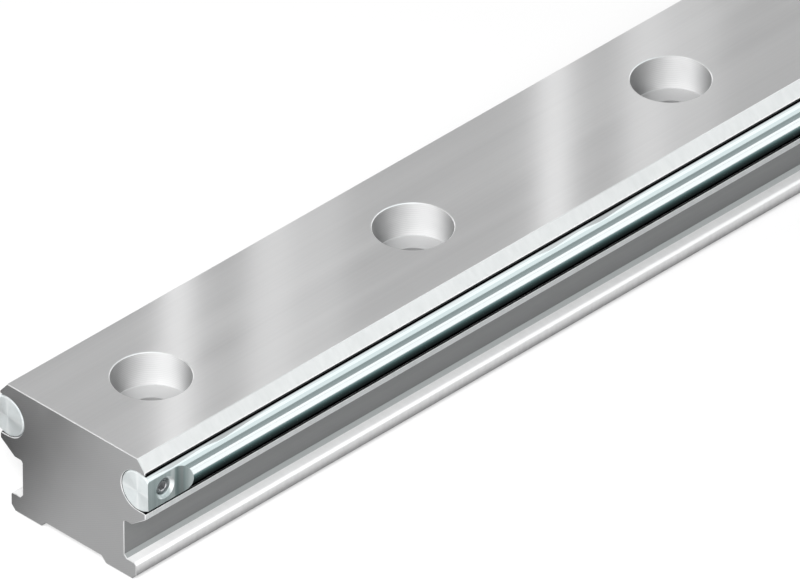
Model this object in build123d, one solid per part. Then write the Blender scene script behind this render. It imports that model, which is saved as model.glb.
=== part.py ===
from build123d import *
import os

# Guide rail for cam rollers: an aluminium extrusion with a hardened steel rod let into each flank.
# The rollers of a carriage run on the rods, and screws through the counterbored holes hold the rail down.
# X runs along the rail, Y across it and Z up. The origin is the middle of the mounting plane.
# The front end is at -X. Seen from there, the right flank is at -Y.

# Bolt holes along the rail, which give its length
hole_pitch = 80.0
hole_count = 6
end_distance = 24.0  # from each end of the rail to its nearest hole
bolt_hole_diameter = 9.0  # clearance for M8
counterbore_diameter = 18.0
counterbore_depth = 8.6
hole_rim_break = 0.2

# Rods
rod_diameter = 10.0
rod_spacing = 40.0  # between the rod axes
rod_end_break = 0.4
groove_fit = 0.05  # radial gap between a rod and its groove

# Section of the extrusion, from the mounting plane up
foot_thickness = 4.5
foot_reach = 3.6  # the foot stands out this far from the neck
foot_bevel = 1.3
recess_width = 20.0
recess_depth = 1.4
channel_height = 9.75  # from the foot up to the roof of the side channel
channel_depth = 6.65  # from the lip's face in to the neck
roof_land = 2.3  # level strip of the roof beside the neck
lip_slope_rise = 3.15
lip_tip_thickness = 1.55
lip_reach = 2.3  # the lips stand out this far from the rod axis
cover_thickness = 3.45  # from the groove up to the top face
bevel_drop = 2.7
bevel_run = 2.25

# Corners of the extrusion
root_chamfer = 0.8  # foot to neck
roof_radius = 0.6  # neck to roof
bevel_radius = 0.8  # bevel to lip face
foot_radius = 0.8  # the foot's upper edge
edge_radius = 0.35  # the other outer edges

# Flats and set screws at the rod ends
flat_depth = 1.75
flat_length = 8.3
cutter_radius = 5.0  # run-out at the flat's inner end
screw_diameter = 4.0
screw_length = 12.0
screw_inset = 5.2  # from the rod's end to the screw's axis
screw_sink = 0.85  # from the flat down to the screw's outer end
screw_fit = 0.05  # radial gap round the screw
screw_tip_gap = 0.5  # from the screw's point to the floor of its hole
screw_end_break = 0.4
cup_diameter = 2.4
socket_across_flats = 2.0
socket_depth = 2.5
countersink_diameter = 5.5

# Places worked out from the sizes above
rail_length = hole_pitch * (hole_count - 1) + 2 * end_distance
rod_radius = rod_diameter / 2
groove_radius = rod_radius + groove_fit
rod_y = rod_spacing / 2
lip_y = rod_y + lip_reach
neck_y = lip_y - channel_depth
foot_y = neck_y + foot_reach
top_y = lip_y - bevel_run
recess_y = recess_width / 2
roof_z = foot_thickness + channel_height
lip_z = roof_z + lip_slope_rise
groove_floor_z = lip_z + lip_tip_thickness
rod_z = groove_floor_z + groove_radius
groove_top_z = rod_z + groove_radius
rail_height = groove_top_z + cover_thickness
flat_y = rod_y + rod_radius - flat_depth
screw_x = rail_length / 2 - screw_inset
screw_outer_y = flat_y - screw_sink
screw_inner_y = screw_outer_y - screw_length


def corners(section, places):
    """The section's vertices at these (y, z) places, on both flanks."""
    both = [(side * y, z) for y, z in places for side in (1, -1)]
    return [section.vertices().sort_by_distance(place)[0] for place in both]


def rail_section():
    """The extrusion's outline at the front end: foot, neck, side channels and the two rod grooves."""
    with BuildSketch(Plane.YZ.offset(-rail_length / 2)) as section:
        with BuildLine():
            Polyline(
                (0, rail_height),
                (0, recess_depth),
                (recess_y - recess_depth, recess_depth),
                (recess_y, 0),
                (foot_y - foot_bevel, 0),
                (foot_y, foot_bevel),
                (foot_y, foot_thickness),
                (neck_y, foot_thickness),
                (neck_y, roof_z),
                (neck_y + roof_land, roof_z),
                (lip_y, lip_z),
                (lip_y, groove_floor_z),
                (rod_y, groove_floor_z),
            )
            ThreePointArc(
                (rod_y, groove_floor_z),
                (rod_y - groove_radius, rod_z),
                (rod_y, groove_top_z),
            )
            Polyline(
                (rod_y, groove_top_z),
                (lip_y, groove_top_z),
                (lip_y, rail_height - bevel_drop),
                (top_y, rail_height),
                (0, rail_height),
            )
        make_face()
        mirror(about=Plane.YZ)
        chamfer(corners(section, [(neck_y, foot_thickness)]), root_chamfer)
        fillet(corners(section, [(neck_y, roof_z)]), roof_radius)
        fillet(corners(section, [(foot_y, foot_thickness)]), foot_radius)
        fillet(corners(section, [(lip_y, rail_height - bevel_drop)]), bevel_radius)
        outer_edges = [
            (foot_y, foot_bevel),
            (neck_y + roof_land, roof_z),
            (lip_y, lip_z),
            (top_y, rail_height),
        ]
        fillet(corners(section, outer_edges), edge_radius)
    return section.sketch


def bolt_hole():
    """What one counterbored hole takes away, from the underside's recess to the top face."""
    bolt_radius = bolt_hole_diameter / 2
    bore_radius = counterbore_diameter / 2
    bore_floor_z = rail_height - counterbore_depth
    with BuildPart() as hole:
        with BuildSketch(Plane.XZ):
            with BuildLine():
                Polyline(
                    (0, recess_depth),
                    (bolt_radius + hole_rim_break, recess_depth),
                    (bolt_radius, recess_depth + hole_rim_break),
                    (bolt_radius, bore_floor_z),
                    (bore_radius, bore_floor_z),
                    (bore_radius, rail_height - hole_rim_break),
                    (bore_radius + hole_rim_break, rail_height),
                    (0, rail_height),
                    close=True,
                )
            make_face()
        revolve(axis=Axis.Z)
    return hole.part


def rail_body():
    """The extrusion, sawn to length, with its bolt holes and the holes that the set screws enter."""
    with BuildPart() as body:
        extrude(rail_section(), amount=rail_length)
        with GridLocations(hole_pitch, 0, hole_count, 1):
            add(bolt_hole(), mode=Mode.SUBTRACT)
        screw_hole_length = rod_y - screw_inner_y + screw_tip_gap
        screw_hole_y = rod_y - screw_hole_length / 2
        with Locations((0, 0, rod_z)):
            with GridLocations(2 * screw_x, 2 * screw_hole_y, 2, 2):
                Cylinder(
                    screw_diameter / 2 + screw_fit,
                    screw_hole_length,
                    rotation=(90, 0, 0),
                    mode=Mode.SUBTRACT,
                )
    return body.part


def rod():
    """The left flank's rod: a ground shaft with a milled flat and a countersunk screw hole at each end."""
    with BuildPart() as shaft:
        with Locations((0, rod_y, rod_z)):
            Cylinder(rod_radius, rail_length, rotation=(0, 90, 0))
        chamfer(shaft.edges().filter_by(GeomType.CIRCLE), rod_end_break)
        with Locations((0, flat_y, rod_z)):
            with GridLocations(rail_length - flat_length, 0, 2, 1):
                Box(
                    flat_length,
                    rod_diameter,
                    rod_diameter,
                    align=(Align.CENTER, Align.MIN, Align.CENTER),
                    mode=Mode.SUBTRACT,
                )
        with Locations((0, flat_y + cutter_radius, rod_z)):
            with GridLocations(rail_length - 2 * flat_length, 0, 2, 1):
                Cylinder(cutter_radius, rod_diameter, mode=Mode.SUBTRACT)
        with Locations(Plane(origin=(0, flat_y, rod_z), x_dir=(1, 0, 0), z_dir=(0, 1, 0))):
            with GridLocations(2 * screw_x, 0, 2, 1):
                CounterSinkHole(
                    screw_diameter / 2 + screw_fit,
                    countersink_diameter / 2,
                    depth=rod_diameter,
                    counter_sink_angle=90,
                )
    return shaft.part


def set_screw():
    """A set screw at the left flank's rear end, its hexagon socket outwards and its cup point in the extrusion."""
    outward = Plane(
        origin=(screw_x, screw_outer_y, rod_z), x_dir=(1, 0, 0), z_dir=(0, 1, 0)
    )
    inward = Plane(
        origin=(screw_x, screw_inner_y, rod_z), x_dir=(1, 0, 0), z_dir=(0, -1, 0)
    )
    with BuildPart() as screw:
        with BuildSketch(outward):
            Circle(screw_diameter / 2)
        extrude(amount=-screw_length)
        chamfer(screw.edges().filter_by(GeomType.CIRCLE), screw_end_break)
        with BuildSketch(outward):
            RegularPolygon(socket_across_flats / 2, 6, major_radius=False)
        extrude(amount=-socket_depth, mode=Mode.SUBTRACT)
        with BuildSketch(inward):
            Circle(cup_diameter / 2)
        extrude(amount=-cup_diameter / 2, taper=44, mode=Mode.SUBTRACT)
    return screw.part


os.makedirs("parts", exist_ok=True)
export_step(rail_body(), "parts/rail_body.step")
left_rod = rod()
export_step(left_rod, "parts/rod_left.step")
export_step(mirror(left_rod, about=Plane.XZ), "parts/rod_right.step")
left_rear_screw = set_screw()
left_front_screw = mirror(left_rear_screw, about=Plane.YZ)
export_step(left_rear_screw, "parts/set_screw_left_rear.step")
export_step(left_front_screw, "parts/set_screw_left_front.step")
export_step(mirror(left_rear_screw, about=Plane.XZ), "parts/set_screw_right_rear.step")
export_step(mirror(left_front_screw, about=Plane.XZ), "parts/set_screw_right_front.step")
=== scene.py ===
import math
import bpy
import bmesh
from mathutils import Matrix, Vector


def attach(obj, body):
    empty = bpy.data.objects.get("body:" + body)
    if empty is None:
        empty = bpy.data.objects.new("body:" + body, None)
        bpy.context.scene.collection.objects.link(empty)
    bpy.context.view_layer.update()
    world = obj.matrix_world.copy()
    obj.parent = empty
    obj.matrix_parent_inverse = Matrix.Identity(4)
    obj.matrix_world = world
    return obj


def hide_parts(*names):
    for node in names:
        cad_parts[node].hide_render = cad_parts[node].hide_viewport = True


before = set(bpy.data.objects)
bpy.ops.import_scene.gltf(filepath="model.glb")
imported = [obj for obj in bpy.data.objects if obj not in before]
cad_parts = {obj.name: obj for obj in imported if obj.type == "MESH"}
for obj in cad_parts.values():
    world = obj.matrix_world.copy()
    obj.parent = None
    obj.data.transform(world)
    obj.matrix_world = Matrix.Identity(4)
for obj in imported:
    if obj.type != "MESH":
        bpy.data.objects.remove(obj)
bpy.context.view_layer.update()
print("rail: CAD frame loaded")

mm = 0.001


# Meshes are drawn in millimetres and kept in metres.
def solidMesh(name, points, faces):
    mesh = bpy.data.meshes.new(name)
    mesh.from_pydata([Vector(p) * mm for p in points], [], faces)
    shape = bmesh.new()
    shape.from_mesh(mesh)
    bmesh.ops.recalc_face_normals(shape, faces=shape.faces)
    wide = [face for face in shape.faces if len(face.verts) > 4]
    bmesh.ops.triangulate(shape, faces=wide, ngon_method="BEAUTY")
    shape.to_mesh(mesh)
    shape.free()
    return mesh


def place(name, mesh):
    made = bpy.data.objects.new(name, mesh)
    bpy.context.scene.collection.objects.link(made)
    return made


# A closed solid turned about Z from (radius, height) pairs that start and end on the axis.
def turned(name, profile, segments):
    points, faces, rings = [], [], []
    for radius, height in profile:
        ring = range(len(points), len(points) + (segments if radius > 0 else 1))
        for k in range(len(ring)):
            angle = 2 * math.pi * k / segments
            points.append((radius * math.cos(angle), radius * math.sin(angle), height))
        rings.append(list(ring))
    for low, high in zip(rings, rings[1:]):
        for k in range(segments):
            nextOne = (k + 1) % segments
            if len(low) == 1:
                faces.append((low[0], high[nextOne], high[k]))
            elif len(high) == 1:
                faces.append((low[k], low[nextOne], high[0]))
            else:
                faces.append((low[k], low[nextOne], high[nextOne], high[k]))
    return solidMesh(name, points, faces)


# A closed solid from rings of points of the same length, capped at both ends.
def lofted(name, rings):
    points = [p for ring in rings for p in ring]
    count = len(rings[0])
    faces = [tuple(range(count)), tuple(len(points) - 1 - k for k in range(count))]
    for r in range(len(rings) - 1):
        for k in range(count):
            nextOne = (k + 1) % count
            low, high = r * count, (r + 1) * count
            faces.append((low + k, low + nextOne, high + nextOne, high + k))
    return solidMesh(name, points, faces)


# Corners are (y, z, size): a size above 0 rounds the corner, below 0 cuts it straight, and 0 keeps it.
def roundedOutline(corners, degreesPerStep):
    outline = []
    for i, (y, z, size) in enumerate(corners):
        here = Vector((y, z))
        back = (Vector(corners[i - 1][:2]) - here).normalized()
        ahead = (Vector(corners[(i + 1) % len(corners)][:2]) - here).normalized()
        turn = math.pi - back.angle(ahead)
        if size == 0:
            outline.append(here)
        elif size < 0:
            outline += [here - back * size, here - ahead * size]
        else:
            middle = here + (back + ahead).normalized() * size / math.cos(turn / 2)
            arm = here + back * size * math.tan(turn / 2) - middle
            side = 1 if back.cross(ahead) > 0 else -1
            steps = max(2, math.ceil(math.degrees(turn) / degreesPerStep))
            for k in range(steps + 1):
                outline.append(middle + Matrix.Rotation(-side * turn * k / steps, 2) @ arm)
    return outline


# The outline drawn in by a distance, each point along its mitre.
def drawnIn(outline, distance):
    area = sum(a.cross(b) for a, b in zip(outline, outline[1:] + outline[:1]))
    side = 1 if area > 0 else -1
    inner = []
    for i, here in enumerate(outline):
        back = (here - outline[i - 1]).normalized()
        ahead = (outline[(i + 1) % len(outline)] - here).normalized()
        backIn = Vector((-back.y, back.x)) * side
        aheadIn = Vector((-ahead.y, ahead.x)) * side
        inner.append(here + (backIn + aheadIn) * distance / (1 + backIn.dot(aheadIn)))
    return inner


# The mesh of an object with its modifiers applied. The modifiers then go.
def applied(made):
    bpy.context.view_layer.update()
    graph = bpy.context.evaluated_depsgraph_get()
    mesh = bpy.data.meshes.new_from_object(made.evaluated_get(graph))
    made.modifiers.clear()
    made.data = mesh
    return made


def cut(made, *cutters):
    for cutter in cutters:
        step = made.modifiers.new("cut", "BOOLEAN")
        step.operation, step.solver, step.object = "DIFFERENCE", "EXACT", cutter
    applied(made)
    for cutter in cutters:
        bpy.data.objects.remove(cutter)


# Smooth across small angles, sharp across large ones, with the flat faces kept flat.
def shadeCleanly(made, degrees=32):
    made.data.polygons.foreach_set("use_smooth", [True] * len(made.data.polygons))
    made.data.set_sharp_from_angle(angle=math.radians(degrees))
    step = made.modifiers.new("weights", "WEIGHTED_NORMAL")
    step.keep_sharp = True
    step.weight = 100
    applied(made)


# Each face takes the finish that pick names for its middle and its normal.
def finishFaces(made, finishes, pick):
    made.data.materials.clear()
    names = list(finishes)
    for name in names:
        made.data.materials.append(finishes[name])
    for face in made.data.polygons:
        face.material_index = names.index(pick(face.center / mm, face.normal))


def addNode(tree, kind, inputs=None, **settings):
    made = tree.nodes.new(kind)
    for name, value in settings.items():
        setattr(made, name, value)
    for name, value in (inputs or {}).items():
        if isinstance(value, bpy.types.NodeSocket):
            tree.links.new(value, made.inputs[name])
        else:
            made.inputs[name].default_value = value
    return made


def maths(tree, operation, a, b=0.0, c=0.0):
    made = addNode(tree, "ShaderNodeMath", {0: a, 1: b, 2: c}, operation=operation)
    return made.outputs[0]


# Object coordinates, moved and stretched.
def pattern(tree, scale, location=(0, 0, 0)):
    where = addNode(tree, "ShaderNodeTexCoord").outputs["Object"]
    mapped = addNode(tree, "ShaderNodeMapping", {"Vector": where, "Scale": scale, "Location": location})
    return mapped.outputs[0]


def noise(tree, scale, detail=2.0, roughness=0.5, location=(0, 0, 0)):
    made = addNode(
        tree,
        "ShaderNodeTexNoise",
        {"Vector": pattern(tree, scale, location), "Scale": 1.0, "Detail": detail, "Roughness": roughness},
    )
    return made.outputs[0]


# How far a point at (a, b) lies from the axis between them.
def reachOf(tree, a, b):
    return maths(tree, "SQRT", maths(tree, "MULTIPLY_ADD", a, a, maths(tree, "MULTIPLY", b, b)))


# A share of the first and the rest of the second.
def shared(tree, first, second, share):
    return maths(tree, "MULTIPLY_ADD", first, share, maths(tree, "MULTIPLY", second, 1 - share))


# Tool lines at an even spacing along a run.
def ringsOf(tree, run, spacing):
    return maths(tree, "SINE", maths(tree, "MULTIPLY", run, 2 * math.pi / (spacing * mm)))


def ranged(tree, value, start, end, low=0.0, high=1.0, **settings):
    made = addNode(tree, "ShaderNodeMapRange", {0: value, 1: start, 2: end, 3: low, 4: high}, **settings)
    return made.outputs[0]


# Noise mostly lies between 0.3 and 0.7.
def between(tree, factor, low, high):
    return ranged(tree, factor, 0.3, 0.7, low, high)


def mixed(tree, factor, first, second, blend="MIX"):
    inputs = {0: factor, 6: first, 7: second}
    return addNode(tree, "ShaderNodeMix", inputs, data_type="RGBA", blend_type=blend).outputs[2]


def tint(tree, factor, first, second):
    return mixed(tree, factor, (*first, 1), (*second, 1))


def combined(tree, x=0.0, y=0.0, z=0.0):
    return addNode(tree, "ShaderNodeCombineXYZ", {0: x, 1: y, 2: z}).outputs[0]


def objectXyz(tree):
    where = addNode(tree, "ShaderNodeTexCoord").outputs["Object"]
    return addNode(tree, "ShaderNodeSeparateXYZ", {0: where}).outputs


# A ramp of greys. A stop is (place, level, share of red).
def levels(tree, factor, stops):
    ramp = addNode(tree, "ShaderNodeValToRGB", {0: factor})
    while len(ramp.color_ramp.elements) < len(stops):
        ramp.color_ramp.elements.new(0.5)
    for stop, (position, level, red) in zip(ramp.color_ramp.elements, stops):
        stop.position = position
        stop.color = (level * red, level, level, 1)
    return ramp.outputs[0]


def bump(tree, height, depth, under=None):
    inputs = {"Height": height, "Distance": depth * mm}
    if under is not None:
        inputs["Normal"] = under
    return addNode(tree, "ShaderNodeBump", inputs).outputs[0]


# A bare metal: its shader's sockets are filled by the finish that asks for it.
def metal(name, anisotropy=0.0, metallic=1.0):
    made = bpy.data.materials.new(name)
    made.use_nodes = True
    tree = made.node_tree
    shader = tree.nodes["Principled BSDF"]
    shader.inputs["Metallic"].default_value = metallic
    shader.inputs["Anisotropic"].default_value = anisotropy
    return made, tree, shader


def fill(tree, shader, **sockets):
    names = {"colour": "Base Color", "roughness": "Roughness", "normal": "Normal", "tangent": "Tangent"}
    for key, value in sockets.items():
        tree.links.new(value, shader.inputs[names[key]])


# Places that the finishes share with the shapes.
layout = {"halfLength": 224.0, "holePitch": 80.0, "rodY": 20.0, "rodZ": 24.0, "screwX": 218.8}
halfLength, rodY, rodZ, screwX = (layout[key] for key in ("halfLength", "rodY", "rodZ", "screwX"))
rodHeight = rodZ * mm

# As extruded and clear anodised: satin, with faint die lines along the rail.
# In this and the next looks, a noise is given by its scale along each axis, and a depth is in millimetres.
extrusionLook = {
    "dieLines": (5, 1500, 1500),
    "streaks": (7, 120, 120),
    "streaksStart": (3, 1, 2),
    "grain": (5200, 5200, 5200),
    "lineShare": 0.45,
    "lineDepth": 0.004,
    "grainDepth": 0.0012,
    # Painted shade low in the channels: how strong it is, its colour, and the heights over which it fades.
    "lowShade": 0.55,
    "lowShadeColour": (0.14, 0.14, 0.14, 1),
    "lowShadeHeights": (4.5, 13.5),
}


def extrudedFinish(name, dark, light, roughness, metallic, lowShade=0.0):
    made, tree, shader = metal(name, 0.0, metallic)
    dieLines = noise(tree, extrusionLook["dieLines"], 3.0, 0.6)
    streaks = noise(tree, extrusionLook["streaks"], 2.0, 0.5, extrusionLook["streaksStart"])
    grain = noise(tree, extrusionLook["grain"], 1.0)
    tone = shared(tree, dieLines, streaks, extrusionLook["lineShare"])
    colour = tint(tree, between(tree, tone, 0.0, 1.0), dark, light)
    # Painted shade: the colour darkens towards the bottom of the recess.
    if lowShade > 0:
        low, high = extrusionLook["lowShadeHeights"]
        shadedLow = ranged(tree, objectXyz(tree)[2], low * mm, high * mm, lowShade, 0.0)
        colour = mixed(tree, shadedLow, colour, extrusionLook["lowShadeColour"])
    lined = bump(tree, dieLines, extrusionLook["lineDepth"])
    fill(
        tree,
        shader,
        colour=colour,
        roughness=between(tree, streaks, *roughness),
        normal=bump(tree, grain, extrusionLook["grainDepth"], lined),
    )
    return made


extruded = extrudedFinish(
    "extrudedAluminium", (0.78, 0.781, 0.784), (0.835, 0.836, 0.838), (0.30, 0.36), 0.94
)
# The side channels take a darker copy of the skin: painted shade in the recess, painted darker still low
# down.
channel = extrudedFinish(
    "channelShaded", (0.395, 0.396, 0.399), (0.455, 0.456, 0.459), (0.50, 0.58), 0.92, extrusionLook["lowShade"]
)
# The root chamfer between neck and foot takes a darker copy too: painted shade in the recess.
rootShaded = extrudedFinish("rootShaded", (0.46, 0.46, 0.462), (0.52, 0.52, 0.522), (0.40, 0.48), 0.9)
# The rods' grooves are painted near black: painted shade in the gap between the rods and the lips.
groove = extrudedFinish("paintedGrooveShade", (0.035, 0.035, 0.037), (0.06, 0.06, 0.063), (0.42, 0.5), 1.0)

# The sawn ends carry the blade's arcs. At the wave scale, a wave texture's rings stand one unit apart.
sawLook = {
    "bladeCentre": (-70.0, -120.0),
    "lineSpacing": 0.45,
    "waveScale": 0.314,
    "patches": (60, 60, 60),
    "arcShare": 0.35,
    "arcDepth": 0.006,
    "patchDepth": 0.02,
    "light": (0.665, 0.667, 0.67),
    "dark": (0.585, 0.587, 0.591),
    "roughness": (0.30, 0.37),
}
sawn, tree, shader = metal("sawnAluminium")
centreY, centreZ = sawLook["bladeCentre"]
arcs = addNode(
    tree,
    "ShaderNodeTexWave",
    {
        "Vector": pattern(tree, (1, 1, 1), (0, -centreY * mm, -centreZ * mm)),
        "Scale": sawLook["waveScale"] / (sawLook["lineSpacing"] * mm),
        "Distortion": 0.6,
        "Detail": 1.0,
        "Detail Scale": 0.3,
    },
    wave_type="RINGS",
    rings_direction="X",
).outputs["Fac"]
patches = noise(tree, sawLook["patches"], 3.0, 0.6)
tone = shared(tree, arcs, patches, sawLook["arcShare"])
fill(
    tree,
    shader,
    colour=tint(tree, tone, sawLook["dark"], sawLook["light"]),
    roughness=between(tree, patches, *sawLook["roughness"]),
    normal=bump(tree, patches, sawLook["patchDepth"], bump(tree, arcs, sawLook["arcDepth"])),
)


# A bare metal whose tone, roughness and marks come from one noise.
def markedFinish(name, look, metallic, noiseRoughness):
    made, tree, shader = metal(name, 0.0, metallic)
    marks = noise(tree, look["marks"], 2.0, noiseRoughness)
    fill(
        tree,
        shader,
        colour=tint(tree, marks, look["dark"], look["light"]),
        roughness=between(tree, marks, *look["roughness"]),
        normal=bump(tree, marks, look["depth"]),
    )
    return made


# Deburred edges: bare and brighter.
edgeLook = {
    "marks": (900, 2400, 2400),
    "depth": 0.003,
    "light": (0.95, 0.952, 0.954),
    "dark": (0.89, 0.892, 0.895),
    "roughness": (0.30, 0.38),
}
bare = markedFinish("bareEdge", edgeLook, 1.0, 0.5)

# Lighter copies of the aluminium for the bevel, lips and foot, with milling feed marks: painted light. The
# less metallic ones still carry a dry film of coolant, which makes them matt.
millLook = {"feed": (900, 260, 260), "feedDepth": 0.002, "roughness": (0.40, 0.46)}


def paintedLightFinish(name, metallic, dark, light, roughness=millLook["roughness"], depth=millLook["feedDepth"]):
    made, tree, shader = metal(name, 0.0, metallic)
    feed = noise(tree, millLook["feed"], 2.0, 0.6)
    fill(
        tree,
        shader,
        colour=tint(tree, between(tree, feed, 0.0, 1.0), dark, light),
        roughness=between(tree, feed, *roughness),
        normal=bump(tree, feed, depth),
    )
    return made


bevelled = paintedLightFinish("bevelPaintedLight", 0.85, (0.91, 0.90, 0.90), (0.945, 0.935, 0.935))
lipped = paintedLightFinish("lipPaintedLight", 0.70, (0.90, 0.90, 0.902), (0.95, 0.95, 0.951))
# The foot's top lies in the lips' shadow: its light copy is painted light there.
footed = paintedLightFinish("footTopPaintedLight", 0.3, (0.90, 0.90, 0.902), (0.94, 0.94, 0.941))
# The foot's sides are cut with a finer feed.
sided = paintedLightFinish("footSidePaintedLight", 0.88, (0.84, 0.84, 0.842), (0.91, 0.91, 0.911), (0.29, 0.33), 0.0002)

# Counterbores: the tool's rings round each hole, and a painted sheen in the colour, brightest at a bearing
# and at its opposite, in place of the bore's reflections. The skew narrows the painted sheen on the
# bearing's lower side.
boreLook = {
    "lineSpacing": 0.5,
    "lineDepth": 0.0008,
    "lineShare": 0.05,
    "wobble": (300, 300, 300),
    "wobbleReach": 0.3,
    "wobbleShare": 0.16,
    "middleTone": 0.42,
    "paintedSheenBearing": 24.0,
    "paintedSheenSkew": -1.6,
    "roughness": (0.48, 0.55),
    "grainLift": 4.0,
}


def machinedFinish(name, metallic, dark, light, paintedSheen):
    made, tree, shader = metal(name, 0.6, metallic)
    parts = objectXyz(tree)
    half = layout["holePitch"] * mm / 2
    acrossX = maths(tree, "WRAP", maths(tree, "SUBTRACT", parts[0], half), half, -half)
    radius = reachOf(tree, acrossX, parts[1])
    wobble = noise(tree, boreLook["wobble"], 2.0)
    strayed = maths(tree, "MULTIPLY", wobble, boreLook["wobbleReach"] * mm)
    run = maths(tree, "ADD", maths(tree, "ADD", radius, parts[2]), strayed)
    rings = ringsOf(tree, run, boreLook["lineSpacing"])
    bearing = maths(tree, "ARCTAN2", parts[1], acrossX)
    turnedBy = maths(tree, "SUBTRACT", bearing, math.radians(boreLook["paintedSheenBearing"]))
    turnedBy = maths(tree, "WRAP", turnedBy, math.pi / 2, -math.pi / 2)
    skewed = maths(tree, "MULTIPLY", turnedBy, boreLook["paintedSheenSkew"])
    aside = maths(tree, "MINIMUM", maths(tree, "MAXIMUM", turnedBy, skewed), math.pi / 2)
    # The painted sheen: a fan of lighter colour round each bore.
    paintedSheenFan = maths(tree, "COSINE", maths(tree, "MULTIPLY", aside, 2.0))
    base = maths(tree, "MULTIPLY_ADD", wobble, boreLook["wobbleShare"], boreLook["middleTone"])
    uneven = maths(tree, "MULTIPLY_ADD", rings, boreLook["lineShare"], base)
    fill(
        tree,
        shader,
        colour=tint(tree, maths(tree, "MULTIPLY_ADD", paintedSheenFan, paintedSheen / 2, uneven), dark, light),
        roughness=between(tree, wobble, *boreLook["roughness"]),
        normal=bump(tree, rings, boreLook["lineDepth"]),
        tangent=combined(tree, acrossX, parts[1], boreLook["grainLift"] * mm),
    )
    return made


bored = machinedFinish("machinedBore", 0.35, (0.31, 0.311, 0.313), (0.87, 0.871, 0.873), 1.0)
seat = machinedFinish("screwSeat", 0.45, (0.50, 0.501, 0.503), (0.57, 0.571, 0.573), 0.0)

# The drilled through-holes.
drillLook = {
    "marks": (500, 500, 2600),
    "depth": 0.004,
    "light": (0.56, 0.56, 0.562),
    "dark": (0.46, 0.46, 0.462),
    "roughness": (0.45, 0.55),
}
drilled = markedFinish("drilledHole", drillLook, 0.35, 0.6)


# How far a point lies outwards and upwards of its rod's axis.
def fromRodAxis(tree, parts):
    outwards = maths(tree, "SUBTRACT", maths(tree, "ABSOLUTE", parts[1]), rodY * mm)
    return outwards, maths(tree, "SUBTRACT", parts[2], rodHeight)


# The rods' ground and polished track, with painted shade where they enter the lips: a dark band in place of
# their dark reflections there.
# Its angles are round the rod, up from outwards. It fades in from the first to the second.
rodLook = {
    "grinding": (2600, 90, 90),
    "grindingDepth": 0.0005,
    "haze": (25, 160, 160),
    "light": (0.74, 0.785, 0.79),
    "dark": (0.70, 0.75, 0.76),
    "roughness": (0.075, 0.11),
    "paintedShade": (0.045, 0.06, 0.062, 1),
    "paintedShadeAbove": (61.5, 65.5),
    "paintedShadeBelow": (-6.0, -22.0),
    "paintedShadeDulls": 0.92,
}
ground, tree, shader = metal("groundSteel", 0.35)
grinding = noise(tree, rodLook["grinding"], 2.0, 0.6)
haze = noise(tree, rodLook["haze"], 2.0)
outwards, upwards = fromRodAxis(tree, objectXyz(tree))
around = maths(tree, "ARCTAN2", upwards, outwards)
above, below = (
    ranged(tree, around, math.radians(start), math.radians(end), interpolation_type="SMOOTHSTEP")
    for start, end in (rodLook["paintedShadeAbove"], rodLook["paintedShadeBelow"])
)
paintedShade = maths(tree, "MAXIMUM", above, below)
steelTone = tint(tree, between(tree, haze, 0.0, 1.0), rodLook["dark"], rodLook["light"])
# The painted shade takes the steel's shine away at glancing angles too.
shine = maths(tree, "MULTIPLY_ADD", paintedShade, -rodLook["paintedShadeDulls"], 1.0)
tree.links.new(shine, shader.inputs["Specular Tint"])
fill(
    tree,
    shader,
    colour=mixed(tree, paintedShade, steelTone, rodLook["paintedShade"]),
    roughness=between(tree, shared(tree, grinding, haze, 0.5), *rodLook["roughness"]),
    normal=bump(tree, grinding, rodLook["grindingDepth"]),
    tangent=combined(tree, 1.0),
)

# The rods' ends are faced on a lathe, with rings round each rod's axis and four faint rays of painted
# highlight.
facingLook = {
    "lineSpacing": 0.16,
    "lineDepth": 0.0012,
    "lineShare": 0.2,
    "cloud": (500, 500, 500),
    "light": (0.81, 0.85, 0.855),
    "dark": (0.73, 0.78, 0.785),
    "roughness": (0.40, 0.46),
    "highlightTone": (0.93, 0.96, 0.965, 1),
    "rays": 4.0,
    "highlightSharpness": 9.0,
    "highlightShare": 0.7,
    "grainLift": 0.5,
}
facing, tree, shader = metal("turnedSteel", 0.8, 0.75)
parts = objectXyz(tree)
outwards, upwards = fromRodAxis(tree, parts)
signedY = maths(tree, "MULTIPLY", outwards, maths(tree, "SIGN", parts[1]))
rings = ringsOf(tree, reachOf(tree, outwards, upwards), facingLook["lineSpacing"])
cloud = noise(tree, facingLook["cloud"], 2.0)
rayAt = maths(tree, "MULTIPLY", maths(tree, "ARCTAN2", upwards, outwards), facingLook["rays"])
rays = maths(tree, "MULTIPLY_ADD", maths(tree, "COSINE", rayAt), 0.5, 0.5)
rays = maths(tree, "POWER", rays, facingLook["highlightSharpness"])
rays = maths(tree, "MULTIPLY", rays, facingLook["highlightShare"])
tone = maths(tree, "MULTIPLY_ADD", rings, facingLook["lineShare"], cloud)
faced = tint(tree, tone, facingLook["dark"], facingLook["light"])
fill(
    tree,
    shader,
    colour=mixed(tree, rays, faced, facingLook["highlightTone"]),
    roughness=between(tree, cloud, *facingLook["roughness"]),
    normal=bump(tree, rings, facingLook["lineDepth"]),
    tangent=combined(tree, facingLook["grainLift"] * mm, signedY, upwards),
)

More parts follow.
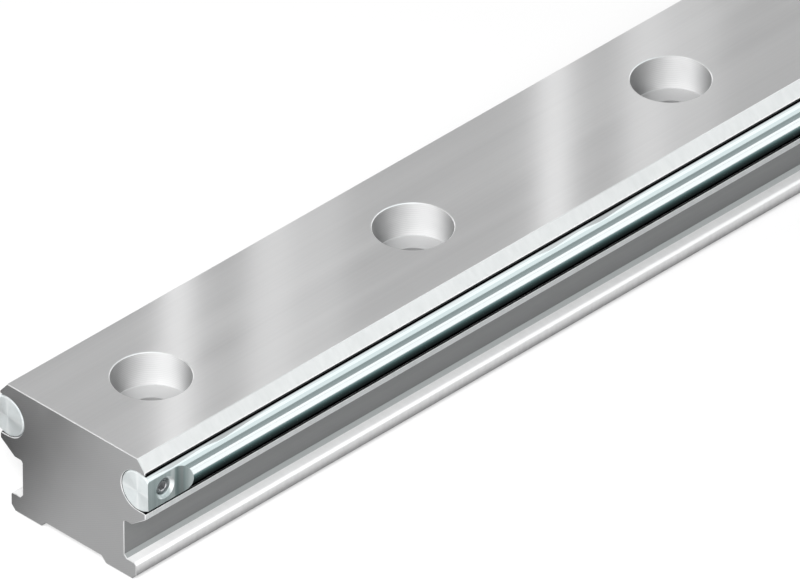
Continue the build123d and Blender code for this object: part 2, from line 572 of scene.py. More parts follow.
# The flats are milled with upright tool lines, and carry bands of painted highlight and painted shade along
# the flat and the cutter's run-out, in place of their reflections.
# The stops run inwards from the rod's end over the reach.
flatLook = {
    "reach": 14.0,
    "stops": [
        (0.0, 0.76, 0.92),
        (0.12, 0.80, 0.92),
        (0.45, 0.84, 0.92),
        (0.53, 0.98, 0.97),
        (0.565, 0.98, 0.97),
        (0.60, 0.55, 0.86),
        (0.635, 0.36, 0.86),
        (0.68, 0.38, 0.9),
        (0.71, 0.42, 0.98),
        (0.75, 0.37, 0.86),
        (0.80, 0.40, 0.88),
        (0.86, 0.5, 0.9),
    ],
    "passes": (2200, 60, 60),
    "passDepth": 0.0018,
    "light": (1.0, 1.0, 1.0),
    "dark": (0.88, 0.89, 0.89),
    "roughness": (0.34, 0.42),
}
milled, tree, shader = metal("milledSteel", 0.45, 0.9)
fromRodEnd = maths(tree, "SUBTRACT", halfLength * mm, maths(tree, "ABSOLUTE", objectXyz(tree)[0]))
passes = noise(tree, flatLook["passes"], 2.0, 0.6)
paintedBands = levels(tree, maths(tree, "DIVIDE", fromRodEnd, flatLook["reach"] * mm), flatLook["stops"])
lines = tint(tree, between(tree, passes, 0.0, 1.0), flatLook["dark"], flatLook["light"])
fill(
    tree,
    shader,
    colour=mixed(tree, 1.0, paintedBands, lines, "MULTIPLY"),
    roughness=between(tree, passes, *flatLook["roughness"]),
    normal=bump(tree, passes, flatLook["passDepth"]),
    tangent=combined(tree, 1.0, 0.2),
)

# The set screws are dark grey from their heat treatment. Their sockets are painted pale: painted light deep
# inside them.
screwLook = {
    "patina": (1800, 1800, 1800),
    "patinaDepth": 0.008,
    "light": (0.36, 0.37, 0.38),
    "dark": (0.25, 0.26, 0.27),
    "roughness": (0.32, 0.46),
    # The colour painted in the sockets is painted light.
    "socket": (0.74, 0.74, 0.75, 1),
    "socketReach": 1.165,
}
dark, tree, shader = metal("darkSteel")
patina = noise(tree, screwLook["patina"], 3.0)
parts = objectXyz(tree)
fromScrewX = maths(tree, "SUBTRACT", maths(tree, "ABSOLUTE", parts[0]), screwX * mm)
fromScrewZ = maths(tree, "SUBTRACT", parts[2], rodHeight)
isOuter = maths(tree, "GREATER_THAN", reachOf(tree, fromScrewX, fromScrewZ), screwLook["socketReach"] * mm)
treated = tint(tree, between(tree, patina, 0.0, 1.0), screwLook["dark"], screwLook["light"])
fill(
    tree,
    shader,
    colour=mixed(tree, isOuter, screwLook["socket"], treated),
    roughness=between(tree, patina, *screwLook["roughness"]),
    normal=bump(tree, patina, screwLook["patinaDepth"]),
)
print("rail: finishes made")


# A Geometry Nodes tree of the object's own, with its named inputs.
def newTree(name, sockets):
    tree = bpy.data.node_groups.new(name, "GeometryNodeTree")
    for label, kind in sockets.items():
        tree.interface.new_socket(label, in_out="INPUT", socket_type="NodeSocket" + kind)
    tree.interface.new_socket("Geometry", in_out="OUTPUT", socket_type="NodeSocketGeometry")
    return tree, addNode(tree, "NodeGroupInput").outputs


# Ends such a tree: a copy of the blank on each point, all made one mesh in the given material.
def spread(tree, given, points, turn=None):
    blank = addNode(tree, "GeometryNodeObjectInfo", {"Object": given["Blank"]}, transform_space="ORIGINAL")
    inputs = {"Points": points, "Instance": blank.outputs["Geometry"]}
    if turn is not None:
        inputs["Rotation"] = turn
    copies = addNode(tree, "GeometryNodeInstanceOnPoints", inputs)
    realized = addNode(tree, "GeometryNodeRealizeInstances", {0: copies.outputs[0]})
    dressing = {"Geometry": realized.outputs[0], "Material": given["Material"]}
    dressed = addNode(tree, "GeometryNodeSetMaterial", dressing)
    addNode(tree, "NodeGroupOutput", {0: dressed.outputs[0]})


# Runs a tree on an empty mesh and gives the result as a plain mesh object.
def grown(name, tree, values):
    made = place(name, bpy.data.meshes.new(name))
    step = made.modifiers.new(name, "NODES")
    step.node_group = tree
    for item in tree.interface.items_tree:
        if item.in_out == "INPUT" and item.name in values:
            step[item.identifier] = values[item.name]
    return applied(made)


# Copies of a blank in a row along the rail, centred on its middle.
rowTree, given = newTree(
    "repeatAlongRail", {"Blank": "Object", "Count": "Int", "Pitch": "Float", "Material": "Material"}
)
spaces = maths(rowTree, "SUBTRACT", given["Count"], 1.0)
startX = maths(rowTree, "MULTIPLY", maths(rowTree, "MULTIPLY", given["Pitch"], spaces), -0.5)
line = addNode(
    rowTree,
    "GeometryNodeMeshLine",
    {
        "Count": given["Count"],
        "Start Location": combined(rowTree, startX),
        "Offset": combined(rowTree, given["Pitch"]),
    },
)
spread(rowTree, given, line.outputs[0])


def rowOf(name, blank, count, pitch, material):
    made = grown(name, rowTree, {"Blank": blank, "Count": count, "Pitch": pitch * mm, "Material": material})
    bpy.data.objects.remove(blank)
    return made


alongY = Matrix.Rotation(-math.pi / 2, 4, "X")
alongX = Matrix.Rotation(math.pi / 2, 4, "Y")
halfTurn = Matrix.Rotation(math.pi, 4, "Z")
toRodHeight = Matrix.Translation((0, 0, rodHeight))

# The extrusion's section from the mounting plane up, as (y, z, corner size) on the +Y side.
railBody = {
    "height": 32.5,
    "endBreak": 0.16,
    "aboveGroove": [
        (20.05, 32.5, 0.35),  # edge of the top face
        (22.3, 29.8, 0.8),  # foot of the bevel
        (22.3, 29.05, 0.22),  # upper lip
    ],
    "grooveRadius": 5.05,
    "grooveSteps": 40,
    "belowGroove": [
        (22.3, 18.95, 0.3),  # lower lip
        (22.3, 17.4, 0.35),  # its tip
        (17.95, 14.25, 0.35),  # outer edge of the channel's roof
        (15.65, 14.25, 0.6),  # roof to neck
        (15.65, 4.5, -0.8),  # neck to foot
        (19.25, 4.5, 0.8),  # top of the foot's side
        (19.25, 1.3, 0.35),  # bottom of the foot's side
        (17.95, 0.0, 0.25),  # outer edge of the underside
        (10.0, 0.0, 0.25),  # edge of the recess
        (8.6, 1.4, 0.3),  # top of the recess
    ],
    "recessDepth": 1.4,
    "degreesPerStep": 10,
}
reach, steps = railBody["grooveRadius"], railBody["grooveSteps"]
grooveArc = []
for k in range(steps + 1):
    angle = math.pi / 2 + math.pi * k / steps
    grooveY, grooveZ = reach * math.cos(angle), reach * math.sin(angle)
    grooveArc.append((rodY + grooveY, rodZ + grooveZ, 0))
leftHalf = railBody["aboveGroove"] + grooveArc + railBody["belowGroove"]
corners = leftHalf + [(-y, z, size) for y, z, size in reversed(leftHalf)]
section = roundedOutline(corners, railBody["degreesPerStep"])
sawnSection = drawnIn(section, railBody["endBreak"])
breakX = halfLength - railBody["endBreak"]
stations = ((-halfLength, sawnSection), (-breakX, section), (breakX, section), (halfLength, sawnSection))
rail = place("railBody", lofted("railBody", [[(x, p.x, p.y) for p in outline] for x, outline in stations]))

# Bolt holes: through-hole, counterbore and the small breaks on their edges.
boltHoles = {
    "count": 6,
    "holeRadius": 4.5,
    "boreRadius": 9.0,
    "boreFloor": 23.9,
    "rimBreak": 0.2,
    "floorBreak": 0.15,
    "floorRound": 0.25,
    "roundSteps": 4,
    "overshoot": 0.2,
    "segments": 112,
}
holeRadius, boreRadius, boreFloor = boltHoles["holeRadius"], boltHoles["boreRadius"], boltHoles["boreFloor"]
rim, over, small = boltHoles["rimBreak"], boltHoles["overshoot"], boltHoles["floorRound"]
underside, top = railBody["recessDepth"], railBody["height"]
holeProfile = [
    (0, underside - over),
    (holeRadius + rim + over, underside - over),
    (holeRadius, underside + rim),
    (holeRadius, boreFloor - boltHoles["floorBreak"]),
    (holeRadius + boltHoles["floorBreak"], boreFloor),
]
for k in range(boltHoles["roundSteps"] + 1):
    angle = math.pi / 2 * k / boltHoles["roundSteps"]
    roundRadius = boreRadius - small + small * math.sin(angle)
    holeProfile.append((roundRadius, boreFloor + small - small * math.cos(angle)))
holeProfile += [(boreRadius, top - rim), (boreRadius + rim + over, top + over), (0, top + over)]
holeBlank = place("holeBlank", turned("holeBlank", holeProfile, boltHoles["segments"]))
holeRow = rowOf("holeRow", holeBlank, boltHoles["count"], layout["holePitch"], bored)
holeMiddle = (boltHoles["count"] - 1) / 2
holeXs = [layout["holePitch"] * (k - holeMiddle) for k in range(boltHoles["count"])]

# The holes for the set screws go through each rod into the extrusion.
screwHoles = {
    "radius": 2.05,
    "bottomY": 9.9,
    "pilotMouthY": 19.0,
    "crossHoleY": 13.0,
    "flatY": 23.25,
    "sinkRadius": 2.75,
    "sinkOvershoot": 0.3,
    "pilotSegments": 48,
    "sinkSegments": 64,
}
pilotRadius, bottomY, mouthY = screwHoles["radius"], screwHoles["bottomY"], screwHoles["pilotMouthY"]
pilot = [(0, bottomY), (pilotRadius, bottomY), (pilotRadius, mouthY), (0, mouthY)]
pilotBlank = place("pilotBlank", turned("pilotBlank", pilot, screwHoles["pilotSegments"]))
pilotBlank.data.transform(toRodHeight @ alongY)
otherPilot = place("otherPilot", pilotBlank.data.copy())
otherPilot.data.transform(halfTurn)
screwSpan = 2 * screwX
pilots = [rowOf("pilotRow", blank, 2, screwSpan, bored) for blank in (pilotBlank, otherPilot)]
cut(rail, holeRow, *pilots)

# How close a face lies to an edge of its finish, and how far it has to lean to count as sloping.
margins = {"end": 0.01, "top": 0.001, "bore": 0.1, "hole": 0.01, "seat": 0.2, "rimLean": 0.2}
# How far the painted shade of the rods' grooves reaches: from the rod's axis, out to the lips and over the
# lower one.
shadedGroove = {"reach": 5.65, "lipY": 22.2, "lowerLipTop": 19.0, "lowerLipLean": 0.3}
# The other finishes: (finish, distance from the middle plane, lowest, highest, least lean upwards).
# The first that fits a face counts. A lean of -2 takes every face.
finishZones = (
    ("groove", 22.0, 28.0, 29.6, -2.0),
    ("bevel", 19.9, 28.0, 32.3, -2.0),
    ("lip", 22.0, -1.0, 19.0, -2.0),
    ("foot", 16.0, 1.5, 4.6, 0.12),
    ("foot", 16.4, 4.4, 4.6, -2.0),
    ("side", 18.0, -1.0, 4.6, -2.0),
    ("root", 15.6, -1.0, 5.3, 0.5),
    ("channel", 15.5, -1.0, 17.5, -2.0),
)


def holeFinish(centre, normal, out):
    if abs(normal.z) > margins["rimLean"] and centre.z > top - rim:
        return "bare"
    if abs(centre.z - boreFloor) < margins["seat"] and out > holeRadius - margins["hole"]:
        return "seat"
    return "drilled" if out < holeRadius + margins["bore"] else "bored"


def railFinish(centre, normal):
    fromEnd = halfLength - abs(centre.x)
    if fromEnd < margins["end"]:
        return "sawn"
    if fromEnd < railBody["endBreak"]:
        return "bare"
    out = min(math.hypot(centre.x - x, centre.y) for x in holeXs)
    if out < boreRadius + rim and underside < centre.z < top - margins["top"]:
        return holeFinish(centre, normal, out)
    away = abs(centre.y)
    onLowerLip = normal.z > shadedGroove["lowerLipLean"] and centre.z < shadedGroove["lowerLipTop"]
    if math.hypot(away - rodY, centre.z - rodZ) < shadedGroove["reach"]:
        if away < shadedGroove["lipY"] or onLowerLip:
            return "groove"
    for finish, nearest, lowest, highest, lean in finishZones:
        if away > nearest and lowest < centre.z < highest and normal.z > lean:
            return finish
    return "extruded"


shadeCleanly(rail)
railFinishes = {
    "extruded": extruded,
    "channel": channel,
    "root": rootShaded,
    "groove": groove,
    "bevel": bevelled,
    "lip": lipped,
    "foot": footed,
    "side": sided,
    "sawn": sawn,
    "bare": bare,
    "bored": bored,
    "seat": seat,
    "drilled": drilled,
}
finishFaces(rail, railFinishes, railFinish)
print("rail: extrusion made,", len(rail.data.polygons), "faces")

# Rods: a ground shaft with a flat at each end that runs out in the cutter's radius.
rod = {
    "radius": 5.0,
    "endBreak": 0.4,
    "shoulderIn": 0.3,  # where the end's break bends, as shares of it
    "shoulderAlong": 0.45,
    "flatLength": 8.3,
    "cutterRadius": 5.0,
    "cutterSteps": 24,
    "cutterReach": 7,  # above and below the rod's axis
    "pastEnd": 2,
    "milledBreak": 0.1,
    "sharperThan": 25,  # degrees between the faces of an edge that is broken
    "segments": 160,
}
radius, broken = rod["radius"], rod["endBreak"]
frontHalf = [
    (0, -halfLength),
    (radius - broken, -halfLength),
    (radius - broken * rod["shoulderIn"], -halfLength + broken * rod["shoulderAlong"]),
    (radius, -halfLength + broken),
]
shaftProfile = frontHalf + [(away, -x) for away, x in reversed(frontHalf)]
rodLeft = place("rodLeft", turned("rodLeft", shaftProfile, rod["segments"]))
rodLeft.data.transform(Matrix.Translation((0, rodY * mm, rodHeight)) @ alongX)

runOutX, endX = halfLength - rod["flatLength"], halfLength + rod["pastEnd"]
flatY, cutterRadius = screwHoles["flatY"], rod["cutterRadius"]
cutterY = flatY + cutterRadius
flatPath = [(endX, flatY)]
for k in range(rod["cutterSteps"] + 1):
    angle = math.pi / 2 * (1 + k / rod["cutterSteps"])
    flatPath.append((runOutX + cutterRadius * math.cos(angle), cutterY - cutterRadius * math.sin(angle)))
flatPath += [(runOutX - cutterRadius, cutterY + 1), (endX, cutterY + 1)]
flatCutters = []
for side in (1, -1):
    heights = (rodZ - rod["cutterReach"], rodZ + rod["cutterReach"])
    outlines = [[(side * x, y, z) for x, y in flatPath] for z in heights]
    flatCutters.append(place("flatCutter", lofted("flatCutter", outlines)))
sinkRadius, past = screwHoles["sinkRadius"], screwHoles["sinkOvershoot"]
crossHoleY, sinkDepth = screwHoles["crossHoleY"], sinkRadius - pilotRadius
sinkProfile = [
    (0, crossHoleY),
    (pilotRadius, crossHoleY),
    (pilotRadius, flatY - sinkDepth),
    (sinkRadius + past, flatY + past),
    (0, flatY + past),
]
sinkBlank = place("sinkBlank", turned("sinkBlank", sinkProfile, screwHoles["sinkSegments"]))
sinkBlank.data.transform(toRodHeight @ alongY)
sinkRow = rowOf("sinkRow", sinkBlank, 2, screwSpan, milled)
cut(rodLeft, *flatCutters, sinkRow)

# What tells the rod's faces apart.
rodMargins = {
    "upright": 0.99,  # an end face turns this much of its normal along the rail
    "skin": 0.03,  # milled faces lie deeper than this inside the ground surface
    "flat": 0.01,  # and no farther than this below the flat
    "breakLean": 0.3,
    "breakDepth": 0.001,
    "ground": 0.02,
}


# How far a point lies from the axis of its rod.
def fromRod(centre):
    return math.hypot(abs(centre.y) - rodY, centre.z - rodZ)


def isMilled(face):
    centre = face.calc_center_median() / mm
    onEndFace = abs(face.normal.x) > rodMargins["upright"]
    nearEnd = abs(centre.x) > runOutX - 3 * cutterRadius
    deep = radius - fromRod(centre) > rodMargins["skin"]
    return nearEnd and not onEndFace and deep and centre.y > flatY - rodMargins["flat"]


# The milled edges keep a narrow bright break.
shape = bmesh.new()
shape.from_mesh(rodLeft.data)
weights = shape.edges.layers.float.new("bevel_weight_edge")
for edge in shape.edges:
    if len(edge.link_faces) == 2 and isMilled(edge.link_faces[0]) != isMilled(edge.link_faces[1]):
        if edge.calc_face_angle(0) > math.radians(rod["sharperThan"]):
            edge[weights] = 1.0
shape.to_mesh(rodLeft.data)
shape.free()
step = rodLeft.modifiers.new("milledEdges", "BEVEL")
step.limit_method, step.width, step.segments = "WEIGHT", rod["milledBreak"] * mm, 1
step.use_clamp_overlap = True
applied(rodLeft)


def rodFinish(centre, normal):
    inEndBreak = abs(normal.x) > rodMargins["breakLean"] and abs(centre.x) > halfLength - broken
    if inEndBreak and fromRod(centre) < radius - rodMargins["breakDepth"]:
        return "facing"
    return "ground" if fromRod(centre) > radius - rodMargins["ground"] else "milled"


shadeCleanly(rodLeft)
finishFaces(rodLeft, {"ground": ground, "facing": facing, "milled": milled}, rodFinish)
rodRight = place("rodRight", rodLeft.data.copy())
rodRight.data.transform(halfTurn)
print("rail: rods made,", len(rodLeft.data.polygons), "faces each")

# Set screws: a hexagon socket outwards, a thread, and a cup point in the extrusion.
setScrew = {
    "outerY": 22.4,
    "length": 12.0,
    "radius": 2.0,
    "threadPitch": 0.7,
    "threadDepth": 0.4,
    "flankSlope": 2.9,
    "crestShare": 0.25,
    "endRadius": 1.5,
    "socketAcross": 2.0,
    "socketDepth": 2.5,
    "socketFloor": 0.9,
    "coneDepth": 0.4,
    "mouthDepth": 0.12,
    "mouthRadius": 0.68,
    "cupRadius": 1.2,
    "cupDepth": 0.8,
    "tipRadius": 0.05,
    "rowsPerTurn": 8,
    "segments": 36,
    "smoothUnder": 40,
    "count": 4,
    "seed": 5,
}
across, tipRadius = setScrew["socketAcross"], setScrew["tipRadius"]
outerY, innerY = setScrew["outerY"], setScrew["outerY"] - setScrew["length"]


def hexRadius(angle):
    return across / 2 / math.cos((angle + math.pi / 6) % (math.pi / 3) - math.pi / 6)


def threadRadius(angle, y):
    turnShare = (y / setScrew["threadPitch"] + angle / (2 * math.pi)) % 1
    flank = abs(turnShare - 0.5) * setScrew["flankSlope"] - setScrew["crestShare"]
    depth = min(1, max(0, flank)) * setScrew["threadDepth"]
    nearEnd = min(outerY - y, y - innerY)
    return min(setScrew["radius"] - depth, setScrew["endRadius"] + nearEnd)


def screwRing(y, radiusAt):
    ring = []
    for k in range(setScrew["segments"]):
        angle = 2 * math.pi * k / setScrew["segments"]
        ring.append((radiusAt(angle) * math.cos(angle), y, radiusAt(angle) * math.sin(angle)))
    return ring


socketY = outerY - setScrew["socketDepth"]
screwRings = [
    screwRing(socketY - setScrew["coneDepth"], lambda a: tipRadius),
    screwRing(socketY, lambda a: setScrew["socketFloor"]),
    screwRing(socketY, hexRadius),
    screwRing(outerY - setScrew["mouthDepth"], hexRadius),
    screwRing(outerY, lambda a: 0.5 * hexRadius(a) + setScrew["mouthRadius"]),
]
threadRows = round(setScrew["length"] / setScrew["threadPitch"] * setScrew["rowsPerTurn"])
for row in range(threadRows + 1):
    y = outerY - setScrew["length"] * row / threadRows
    screwRings.append(screwRing(y, lambda a: threadRadius(a, y)))
screwRings.append(screwRing(innerY, lambda a: setScrew["cupRadius"]))
screwRings.append(screwRing(innerY + setScrew["cupDepth"], lambda a: tipRadius))
screwBlank = place("screwBlank", lofted("screwBlank", screwRings))

# One screw at each end of each rod. Each is turned about its own axis by chance, and faces outwards.
screwTree, given = newTree(
    "setScrewPattern",
    {"Blank": "Object", "Reach": "Float", "Height": "Float", "Seed": "Int", "Material": "Material"},
)
index = addNode(screwTree, "GeometryNodeInputIndex").outputs[0]
endSide = maths(screwTree, "MULTIPLY_ADD", maths(screwTree, "MODULO", index, 2.0), 2.0, -1.0)
flank = maths(screwTree, "FLOOR", maths(screwTree, "MULTIPLY", index, 0.5))
spot = combined(screwTree, maths(screwTree, "MULTIPLY", endSide, given["Reach"]), 0.0, given["Height"])
spots = addNode(screwTree, "GeometryNodePoints", {"Count": setScrew["count"], "Position": spot})
chance = addNode(
    screwTree,
    "FunctionNodeRandomValue",
    {2: 0.0, 3: math.pi / 3, "ID": index, "Seed": given["Seed"]},
    data_type="FLOAT",
)
turnBy = combined(screwTree, 0.0, chance.outputs[1], maths(screwTree, "MULTIPLY", flank, math.pi))
spread(screwTree, given, spots.outputs[0], turnBy)
places = {"Reach": screwX * mm, "Height": rodHeight, "Seed": setScrew["seed"]}
setScrews = grown("setScrews", screwTree, {"Blank": screwBlank, "Material": dark, **places})
bpy.data.objects.remove(screwBlank)
shadeCleanly(setScrews, setScrew["smoothUnder"])
print("rail: set screws made,", len(setScrews.data.polygons), "faces")

for piece, nodes, slot in (
    (rail, ["rail_body"], "extrusion"),
    (rodLeft, ["rod_left"], "rod_steel"),
    (rodRight, ["rod_right"], "rod_steel"),
    (setScrews, [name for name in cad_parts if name.startswith("set_screw")], "screw_steel"),
):
    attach(piece, "root")
    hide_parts(*nodes)

# Studio: a pale floor, a pale surround, one key lamp, and cards that only the metal reflects.
studio = {
    "surround": 0.4,
    "floorSize": 14.0,
    "floorDrop": 0.0004,
    "floorTone": (0.93, 0.93, 0.93, 1),
    "floorGlow": 0.55,
    "keyPower": 21.0,
    "keyBearing": 212.0,
    "keyRise": 40.0,
    "keySize": 0.5,
    "keyDistance": 1.25,
    "keyAim": (-0.1, 0, 0),
    "cardDistance": 0.9,
    "cardLength": 5.0,
    "cardDrop": 0.0001,
}
white, up, down = (1.0, 1.0, 1.0), (0, 0, 1), (0, 0, -1)


# 1 for the rays that carry a surface into the picture: straight, in a reflection or through glass.
def seenDirectly(tree):
    path = addNode(tree, "ShaderNodeLightPath").outputs
    either = maths(tree, "MAXIMUM", path["Is Camera Ray"], path["Is Glossy Ray"])
    return maths(tree, "MAXIMUM", either, path["Is Transmission Ray"])


# The direction at a bearing and a rise above level, in degrees.
def aimed(bearing, rise):
    around, above = math.radians(bearing), math.radians(rise)
    return Vector((math.cos(around) * math.cos(above), math.sin(around) * math.cos(above), math.sin(above)))


scene = bpy.context.scene
world = bpy.data.worlds.new("surround")
scene.world = world
world.use_nodes = True
tree = world.node_tree
background = tree.nodes["Background"]
background.inputs["Color"].default_value = (*white, 1)
glowing = ranged(tree, seenDirectly(tree), 0.0, 1.0, studio["surround"], 1.0)
tree.links.new(glowing, background.inputs["Strength"])


# A flat sheet with its middle at a place, facing a direction. Width runs level.
def sheet(name, width, height, middle, facing, material):
    w, h = width / 2, height / 2
    mesh = bpy.data.meshes.new(name)
    mesh.from_pydata([(-w, -h, 0), (w, -h, 0), (w, h, 0), (-w, h, 0)], [], [(0, 1, 2, 3)])
    mesh.materials.append(material)
    turn = Vector(facing).to_track_quat("Z", "Y").to_matrix().to_4x4()
    mesh.transform(Matrix.Translation(middle) @ turn)
    made = place(name, mesh)
    return made


def emptyMaterial(name):
    made = bpy.data.materials.new(name)
    made.use_nodes = True
    made.node_tree.nodes.clear()
    return made, made.node_tree


def glowOf(name, colour, strength):
    made, tree = emptyMaterial(name)
    glow = addNode(tree, "ShaderNodeEmission", {"Color": (*colour, 1), "Strength": strength})
    addNode(tree, "ShaderNodeOutputMaterial", {0: glow.outputs[0]})
    made.cycles.emission_sampling = "NONE"  # only reflections find the cards
    return made, tree, glow


# A glowing sheet that shows only in reflections.
def card(name, width, height, middle, facing, material):
    made = sheet(name, width, height, middle, facing, material)
    made.visible_camera = made.visible_diffuse = made.visible_shadow = False
    made.visible_transmission = made.visible_volume_scatter = False
    return made


# The floor shows as white to the camera and keeps the rail's shadow.
floorMaterial, tree = emptyMaterial("paleFloor")
matt = addNode(tree, "ShaderNodeBsdfDiffuse", {"Color": studio["floorTone"]})
glow = addNode(tree, "ShaderNodeEmission", {"Color": (*white, 1), "Strength": 1.0})
share = maths(tree, "MULTIPLY", seenDirectly(tree), studio["floorGlow"])
blend = addNode(tree, "ShaderNodeMixShader", {0: share, 1: matt.outputs[0], 2: glow.outputs[0]})
addNode(tree, "ShaderNodeOutputMaterial", {0: blend.outputs[0]})
sheet("floor", studio["floorSize"], studio["floorSize"], (0, 0, -studio["floorDrop"]), up, floorMaterial)

# A dark card on the floor round the rail, with a light band near it. The stops beside the rail run
# outwards over the reach. Those ahead of its ends run at a slant across it.
darkCard = {
    "halfWidth": 0.0193,
    "reach": 0.056,
    "aheadReach": 0.12,
    "aheadSlant": -0.4,
    "besideStops": [
        (0.0, 0.01, 1.0),
        (0.022, 0.02, 1.0),
        (0.036, 0.13, 1.0),
        (0.051, 0.46, 1.0),
        (0.067, 0.95, 1.0),
        (0.085, 1.15, 1.0),
        (0.11, 0.9, 1.0),
        (0.15, 0.25, 0.95),
        (0.2, 0.04, 0.8),
        (0.3, 0.03, 0.7),
        (0.46, 0.07, 0.66),
        (0.65, 0.17, 0.66),
        (0.8, 0.3, 0.68),
        (0.95, 0.42, 0.8),
        (1.0, 0.6, 1.0),
    ],
    "aheadStops": [
        (0.0, 1.0, 1.0),
        (0.17, 1.0, 1.0),
        (0.25, 0.56, 1.0),
        (0.44, 0.56, 1.0),
        (0.50, 0.55, 1.0),
        (0.56, 0.46, 1.0),
        (0.62, 0.31, 1.0),
        (0.67, 0.17, 1.0),
        (0.71, 0.12, 1.0),
        (0.75, 0.08, 1.0),
        (0.83, 0.04, 1.0),
    ],
}
darkMaterial, tree, glow = glowOf("darkCard", white, 1.0)
parts = objectXyz(tree)
outX = maths(tree, "SUBTRACT", maths(tree, "ABSOLUTE", parts[0]), halfLength * mm)
beyond = maths(tree, "SUBTRACT", maths(tree, "ABSOLUTE", parts[1]), darkCard["halfWidth"])
outY = maths(tree, "MAXIMUM", beyond, 0.0)
beside = levels(tree, maths(tree, "DIVIDE", outY, darkCard["reach"]), darkCard["besideStops"])
acrossRail = maths(tree, "ADD", parts[1], darkCard["reach"])
slanted = maths(tree, "MULTIPLY_ADD", outX, darkCard["aheadSlant"], acrossRail)
ahead = levels(tree, maths(tree, "DIVIDE", slanted, darkCard["aheadReach"]), darkCard["aheadStops"])
isAhead = maths(tree, "GREATER_THAN", outX, 0.0)
tree.links.new(mixed(tree, isAhead, beside, ahead), glow.inputs["Color"])
cardLength = 2 * (halfLength * mm + darkCard["reach"])
cardWidth = 2 * (darkCard["halfWidth"] + darkCard["reach"])
card("darkCard", cardLength, cardWidth, (0, 0, -studio["cardDrop"]), up, darkMaterial)

# Cards beside the rail, named by their look, as (name, side, the two angles above level between which
# the rods see them, colour, strength). One that reaches up to 90 degrees lies level overhead.
sideCards = (
    ("lowSoftbox", -1, 0, 13, white, 1.35),
    ("greyCardLow", -1, 13, 26, (0.90, 1.0, 1.0), 0.45),
    ("greyCardHigh", -1, 26, 38, (0.88, 1.0, 1.0), 0.40),
    ("paleCard", -1, 38, 56, (0.93, 1.0, 1.0), 1.06),
    ("whiteCard", -1, 56, 70, (0.97, 1.0, 1.0), 1.35),
    ("upperCard", -1, 70, 80, (0.96, 1.0, 1.0), 1.08),
    ("highSoftbox", -1, 80, 90, white, 1.4),
    ("lowSoftbox", 1, 0, 18, white, 1.2),
    ("greyCard", 1, 18, 70, white, 0.44),
    ("highSoftbox", 1, 70, 90, white, 1.2),
)
length, distance = studio["cardLength"], studio["cardDistance"]
for name, side, low, high, colour, strength in sideCards:
    material = glowOf(name, colour, strength)[0]
    lowZ = rodHeight + distance * math.tan(math.radians(low))
    if high < 90:
        highZ = rodHeight + distance * math.tan(math.radians(high))
        middle = (0, side * distance, (lowZ + highZ) / 2)
        card(name, length, highZ - lowZ, middle, (0, -side, 0), material)
    else:
        card(name, length, distance, (0, side * distance / 2, lowZ), down, material)

# A small bright card whitens the end's upper edge.
edgeCard = {
    "bearing": 134.5,
    "rise": 35.5,
    "distance": 1.0,
    "seenFrom": 0.02,
    "size": 0.22,
    "strength": 1.8,
}
toward = aimed(edgeCard["bearing"], edgeCard["rise"])
middle = Vector((-halfLength * mm, 0, edgeCard["seenFrom"])) + toward * edgeCard["distance"]
edgeMaterial = glowOf("edgeCard", white, edgeCard["strength"])[0]
card("edgeCard", edgeCard["size"], edgeCard["size"], middle, -toward, edgeMaterial)

# Pale cards lie on the floor beyond the dark one.
paleCard = {"length": 3.0, "width": 0.8, "strength": 1.3}
paleMaterial = glowOf("paleFloorCard", white, paleCard["strength"])[0]
for side in (1, -1):
    middle = (0, side * (cardWidth + paleCard["width"]) / 2, -studio["cardDrop"])
    card("paleFloorCard", paleCard["length"], paleCard["width"], middle, up, paleMaterial)

# Strips over the rail give its top face soft bands across the picture.
# Each is (how far right of the picture's middle, width, strength).
topStrips = {
    "height": 0.022,
    "length": 0.16,
    "strips": (
        (-0.0487, 0.0062, 1.16),
        (-0.0285, 0.0095, 0.84),
        (-0.0178, 0.011, 0.64),
        (0.0339, 0.0062, 1.16),
        (0.0541, 0.0095, 0.84),
        (0.0648, 0.011, 0.64),
    ),
}
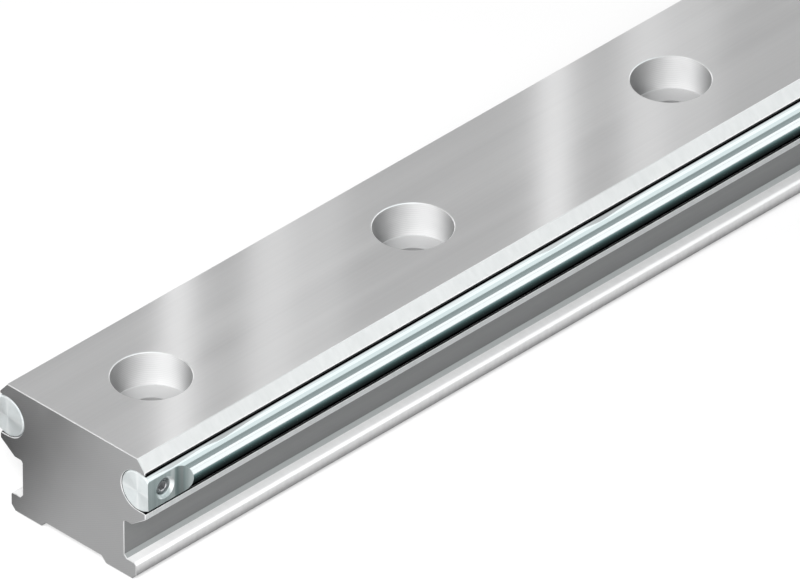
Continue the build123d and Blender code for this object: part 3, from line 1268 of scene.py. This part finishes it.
# The place that the picture's middle shows.
pictureMiddle = Vector((-0.13041, -0.00632, rodHeight))
rightwards = Vector((1, -1, 0)).normalized()
inwards = Vector((1, 1, 0)).normalized()
alongPicture = Matrix.Rotation(-math.pi / 4, 4, "Z")
for offset, width, strength in topStrips["strips"]:
    spotOnTop = pictureMiddle + rightwards * offset
    onAxis = spotOnTop - inwards * (spotOnTop.y / inwards.y)
    middle = Vector((onAxis.x, onAxis.y, top * mm)) + Vector((1, 1, 1)) * topStrips["height"]
    material = glowOf("topStrip", white, strength)[0]
    strip = card("topStrip", width, topStrips["length"], (0, 0, 0), down, material)
    strip.data.transform(Matrix.Translation(middle) @ alongPicture)

# The key lamp is steep enough to reach down the walls of the counterbores.
key = bpy.data.objects.new("keyLamp", bpy.data.lights.new("keyLamp", "AREA"))
key.data.shape = "SQUARE"
key.data.size = studio["keySize"]
key.data.energy = studio["keyPower"]
aim = Vector(studio["keyAim"])
key.location = aim + studio["keyDistance"] * aimed(studio["keyBearing"], studio["keyRise"])
key.rotation_euler = (aim - key.location).to_track_quat("-Z", "Y").to_euler()
key.visible_camera = key.visible_glossy = False
scene.collection.objects.link(key)

# Camera: the photograph is a true isometric drawing, so a very long lens stands in for it.
viewing = {
    "azimuth": -44.888,
    "elevation": 34.739,
    "roll": -0.249,
    "lens": 1200.0,
    "sensor": 36.0,
    "pixelsPerMm": 4.6,
    "width": 800,
    "farthest": 100.0,
}
camera = bpy.data.objects.new("camera", bpy.data.cameras.new("camera"))
camera.data.lens = viewing["lens"]
camera.data.sensor_width = viewing["sensor"]
camera.data.clip_end = viewing["farthest"]
distance = viewing["width"] * viewing["lens"] / viewing["sensor"] / viewing["pixelsPerMm"] * mm
back = aimed(viewing["azimuth"] - 90, viewing["elevation"])
camera.location = pictureMiddle + back * distance
level = (-back).to_track_quat("-Z", "Y").to_matrix().to_4x4()
camera.rotation_euler = (level @ Matrix.Rotation(math.radians(viewing["roll"]), 4, "Z")).to_euler()
scene.collection.objects.link(camera)
scene.camera = camera
scene.view_settings.view_transform = "Standard"

print("rail: studio and camera set")
